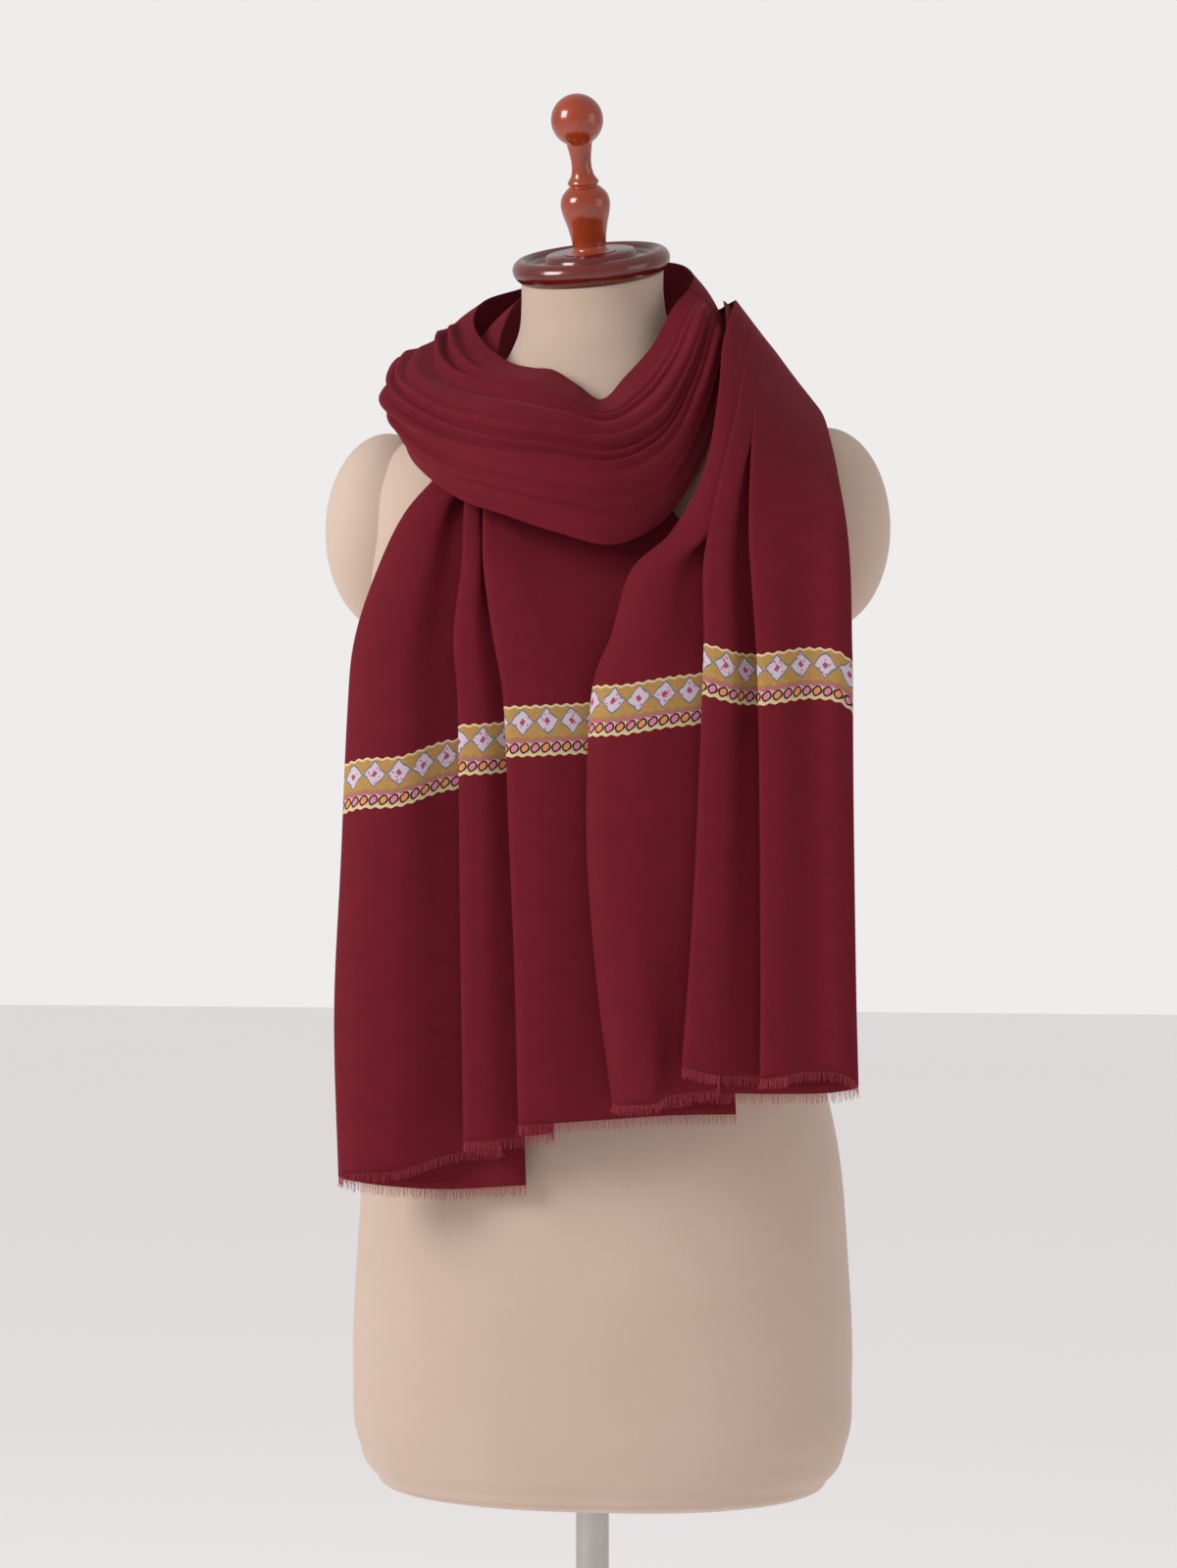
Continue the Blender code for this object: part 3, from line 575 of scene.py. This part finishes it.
def fringe_yarns(name, hem, look, seed):
    """Loose yarns along a hem, each a thin tapered strand that sways a little its own way."""
    draw = np.random.default_rng(seed)
    walked = np.concatenate(([0.0], np.cumsum(np.linalg.norm(np.diff(hem, axis=0), axis=1))))
    count = int(walked[-1] / YARN_SPACING)
    verts, faces = [], []
    for place in np.linspace(0.0, walked[-1], count):
        root = np.array([np.interp(place, walked, hem[:, axis]) for axis in range(3)])
        sway = draw.normal(0.0, 0.0011, 2)
        reach = FRINGE_REACH * draw.uniform(0.7, 1.0)
        first = len(verts)
        for share in (0.0, 0.35, 0.7, 1.0):
            lean = sway * share ** 1.5
            centre = root + np.array((lean[0], lean[1], YARN_OVERLAP - reach * share))
            for corner in (0.0, 2.094, 4.189):
                radius = YARN_RADIUS * (1.0 - 0.5 * share)
                verts.append(centre + radius * np.array((math.cos(corner), math.sin(corner), 0.0)))
        for ring in range(3):
            for k in range(3):
                a, b = first + ring * 3 + k, first + ring * 3 + (k + 1) % 3
                faces.append((a, a + 3, b + 3, b))
        faces.append((first, first + 1, first + 2))
        faces.append((first + 11, first + 10, first + 9))
    mesh = bpy.data.meshes.new(name)
    mesh.from_pydata([tuple(v) for v in verts], [], faces)
    mesh.materials.append(look)
    mesh.shade_smooth()
    piece = bpy.data.objects.new(name, mesh)
    bpy.context.scene.collection.objects.link(piece)
    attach(piece, "root")
    return piece


def build_looks():
    cloth = pashmina("crimson pashmina", False)
    bordered = pashmina("crimson pashmina with worked border", True)
    yarn = simple("loose crimson yarn", "#A01C30", "#B8243A", 0.9, 800.0, 0.3, Sheen_Weight=0.3)
    cover = simple("beige pile jersey", "#C2A894", "#CDB5A4", 0.9, 9.0, 0.35, Sheen_Weight=0.3,
                   Sheen_Roughness=0.5)
    wood = simple("varnished mahogany", "#7A2208", "#B0441A", 0.22, 40.0, 0.0, Coat_Weight=0.6,
                  Coat_Roughness=0.06)
    disc = simple("dark varnished mahogany", "#4A0C06", "#7A1E10", 0.22, 40.0, 0.0, Coat_Weight=0.6,
                  Coat_Roughness=0.06)
    steel = simple("polished steel tube", "#A8A29C", "#C4BFBA", 0.18, 30.0, 0.0, Metallic=1.0)

    levels = smooth(np.arange(len(TORSO)), column(TORSO, "level"), np.linspace(0, len(TORSO) - 1, 160))
    body, _ = finish_piece("form_cover", [torso_row(level) for level in levels], cover,
                           closed=True, capped=True)
    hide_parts("form_body")
    for side, name in ((-1, "left"), (1, "right")):
        centre = Vector((TORSO[12].shift + side * STUMP["side"], 0.0, STUMP["height"]))
        place = Matrix.Translation(centre) @ Matrix.Diagonal(
            (STUMP["reach"], STUMP["depth"], STUMP["rise"], 1.0))
        arcs = [(math.sin(a), math.cos(a)) for a in np.linspace(0.0, math.pi, 40)]
        finish_piece("arm_cap_" + name, turned_rows(arcs, 80, place), cover, closed=True)

    lean = Matrix.Translation(CAP_CENTRE) @ Euler((CAP_PITCH, CAP_ROLL, 0.0)).to_matrix().to_4x4()
    cap_line = [(0.0, 0.018)] + list(softened(CAP_PROFILE)) + [(0.0, 0.0)]
    cap, _ = finish_piece("cap_turning", turned_rows(cap_line, 96, lean), disc, closed=True)
    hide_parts("neck_cap")
    ball = [(BALL_RADIUS * math.sin(a), BALL_CENTRE + BALL_RADIUS * math.cos(a))
            for a in np.radians(np.linspace(0, 148, 30))]
    finial_line = ball + list(softened(FINIAL_PROFILE, 5)) + [(0.02, 0.0183), (0.0, 0.0183)]
    turning, _ = finish_piece("finial_turning", turned_rows(finial_line, TURNING_STEPS, lean), wood,
                              closed=True)
    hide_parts("finial")
    upright = Matrix.Identity(4)
    head, foot = FORM_FOOT - GAP, BASE_HEIGHT + GAP
    pole_line = [(0.0, head), (POLE_RADIUS, head), (POLE_RADIUS, foot), (0.0, foot)]
    edge = 0.003
    base_line = [(0.0, BASE_HEIGHT), (BASE_RADIUS - edge, BASE_HEIGHT), (BASE_RADIUS, BASE_HEIGHT - edge),
                 (BASE_RADIUS, 0.0), (0.0, 0.0)]
    stand = (("pole_tube", pole_line, "pole"), ("base_disc", base_line, "base_plate"))
    for name, line, stands_for in stand:
        rings = turned_rows(line, TURNING_STEPS, upright)
        piece, _ = finish_piece(name, rings, steel, closed=True)
        piece.data.set_sharp_from_angle(angle=POLE_EDGE_ANGLE)
        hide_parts(stands_for)

    windings = (("neck_inner", WINDING_START + 0.35, LOOP_START - 0.25, 90),
                ("loop_front", LOOP_START, LOOP_END, 160),
                ("neck_outer", LOOP_END + 0.3, WINDING_END - 0.35, 70))
    for seed, (name, start, end, steps) in enumerate(windings):
        rows = [winding_section(turn, 24) for turn in np.linspace(start, end, steps)]
        rows = undulate(rows, 0.05, 0.0015, seed)
        piece, flat = finish_piece("cloth_" + name, rows, cloth, wall=CLOTH_WALL)
        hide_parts("shawl_" + name)
    for seed, (name, make) in enumerate((("long", long_end_rows), ("short", short_end_rows))):
        rows = undulate(make(150), 0.06, 0.0022, seed + 5)
        piece, flat = finish_piece("cloth_end_" + name, rows, bordered, wall=CLOTH_WALL,
                                   measured_at=BAND_FOOT + BAND_HIGH / 2)
        edge = fringe_yarns("yarns_" + name, rows[0], yarn, seed)
        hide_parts("fringe_" + name)
        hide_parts("shawl_end_" + name)


# ---------------------------------------------------------------- studio

VIEW_TURN = math.radians(8.0)
VIEW_DISTANCE = 2.79
VIEW_HEIGHT = 1.093


def area_light(name, place, target, size, power):
    light = bpy.data.lights.new(name, "AREA")
    light.size = size
    light.energy = power
    lamp = bpy.data.objects.new(name, light)
    lamp.location = place
    lamp.rotation_euler = (Vector(target) - Vector(place)).to_track_quat("-Z", "Y").to_euler()
    bpy.context.scene.collection.objects.link(lamp)


def build_studio():
    bpy.ops.mesh.primitive_plane_add(size=30.0, location=(0.0, 0.0, -0.001))
    floor = bpy.context.object
    floor.name = "studio_floor"
    paper = simple("matt paper", "#F0EDED", "#F4F1F1", 0.95, 0.5, 0.0, Emission_Strength=0.32)
    paper.node_tree.nodes["Principled BSDF"].inputs["Emission Color"].default_value = linear("#F2EFEF")
    floor.data.materials.append(paper)
    world = bpy.data.worlds.new("studio")
    bpy.context.scene.world = world
    world.use_nodes = True
    world.node_tree.nodes["Background"].inputs[0].default_value = linear("#F2EFEF")
    seen = node(world.node_tree, "ShaderNodeLightPath").outputs["Is Camera Ray"]
    strength = maths(world.node_tree, "MULTIPLY_ADD", seen, 0.42, 0.55)
    world.node_tree.links.new(strength, world.node_tree.nodes["Background"].inputs[1])
    area_light("key", (-1.9, -1.5, 2.3), (0.0, 0.0, 1.1), 1.1, 46.0)
    area_light("fill", (2.4, -0.6, 1.7), (0.0, 0.0, 1.1), 1.4, 6.0)
    lens = bpy.data.cameras.new("view")
    lens.lens = 85.0
    lens.sensor_width = 36.0
    camera = bpy.data.objects.new("view", lens)
    aside = -0.003
    camera.location = (math.sin(VIEW_TURN) * VIEW_DISTANCE + math.cos(VIEW_TURN) * aside,
                       -math.cos(VIEW_TURN) * VIEW_DISTANCE + math.sin(VIEW_TURN) * aside, VIEW_HEIGHT)
    camera.rotation_euler = (math.pi / 2, 0.0, VIEW_TURN)
    bpy.context.scene.collection.objects.link(camera)
    bpy.context.scene.camera = camera
    bpy.context.scene.view_settings.view_transform = "Standard"


build_studio()
build_looks()
